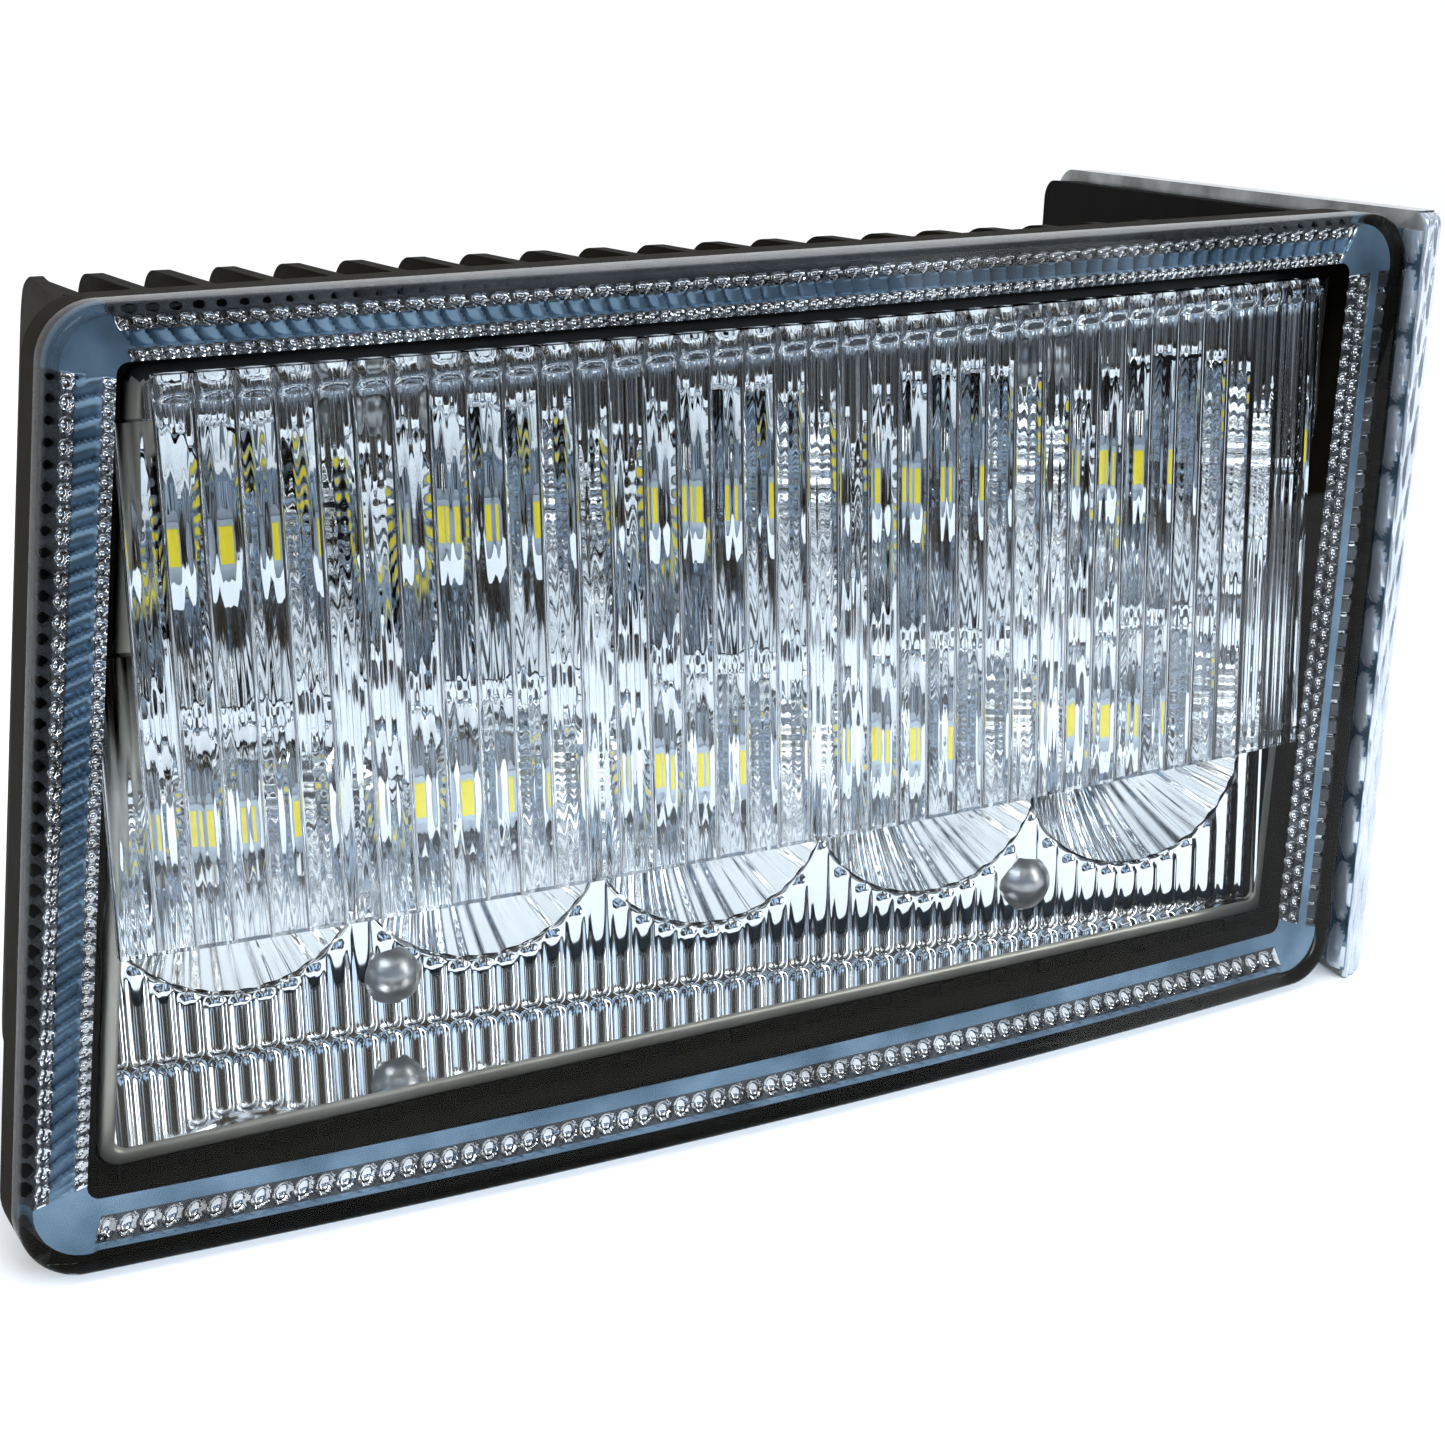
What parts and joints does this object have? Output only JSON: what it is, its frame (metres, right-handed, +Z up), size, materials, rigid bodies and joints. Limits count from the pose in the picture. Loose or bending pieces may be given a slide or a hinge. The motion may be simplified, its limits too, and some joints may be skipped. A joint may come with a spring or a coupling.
{
  "type": "led front lamp",
  "caption": "Rectangular LED work lamp with a swept clear lens, fluted inner plate, mirror bowls, a finned casting and a clear side plate.",
  "frame": {"origin": "centre of the four tapped mounting bosses, on the plane of their faces at the rear of the casting", "axes": "+X to the right seen from the front, +Y to the rear along the mounting bolts, +Z up; the light leaves towards -Y"},
  "size_m": [0.2771, 0.1805, 0.1512],
  "materials": {
    "housing": "matte black powder coat on a die casting",
    "side_panel": "matte",
    "clear_lens": "clear polycarbonate",
    "mirror": "vacuum metallised",
    "screw_dome": "polished",
    "screw_steel": "zinc plated",
    "board": "white solder mask on aluminium",
    "led_body": "satin",
    "phosphor": "satin",
    "sealant": "satin",
    "rubber": "matte",
    "thermal_pad": "matte",
    "driver_pcb": "solder mask",
    "electronics": "moulded",
    "capacitor_can": "drawn can",
    "terminal": "moulded",
    "wire": "insulation",
    "gland": "moulded nylon",
    "membrane": "matte",
    "brass": "turned"
  },
  "bodies": {
    "root": {"housing": "housing", "front_lens": "clear_lens", "lens_seal": "sealant", "inner_lens": "clear_lens", "reflector": "mirror", "reflector_screws": "screw_dome", "led_board": "board", "led_packages": "led_body", "led_phosphors": "phosphor", "board_screws": "screw_steel", "thermal_pad": "thermal_pad", "driver_board": "driver_pcb", "driver_inductor": "electronics", "driver_capacitors": "capacitor_can", "driver_chips": "electronics", "driver_screws": "screw_steel", "power_terminal": "terminal", "led_wires": "wire", "rear_cover": "housing", "rear_cover_seal": "rubber", "rear_cover_screws": "screw_steel", "gland_body": "gland", "gland_nut": "gland", "gland_locknut": "gland", "gland_seal": "rubber", "vent_plug": "gland", "vent_membrane": "membrane", "mounting_inserts": "brass", "side_lens": "clear_lens", "side_lens_bond": "sealant", "side_panel": "side_panel", "side_panel_screws": "screw_steel"}
  },
  "joints": []
}
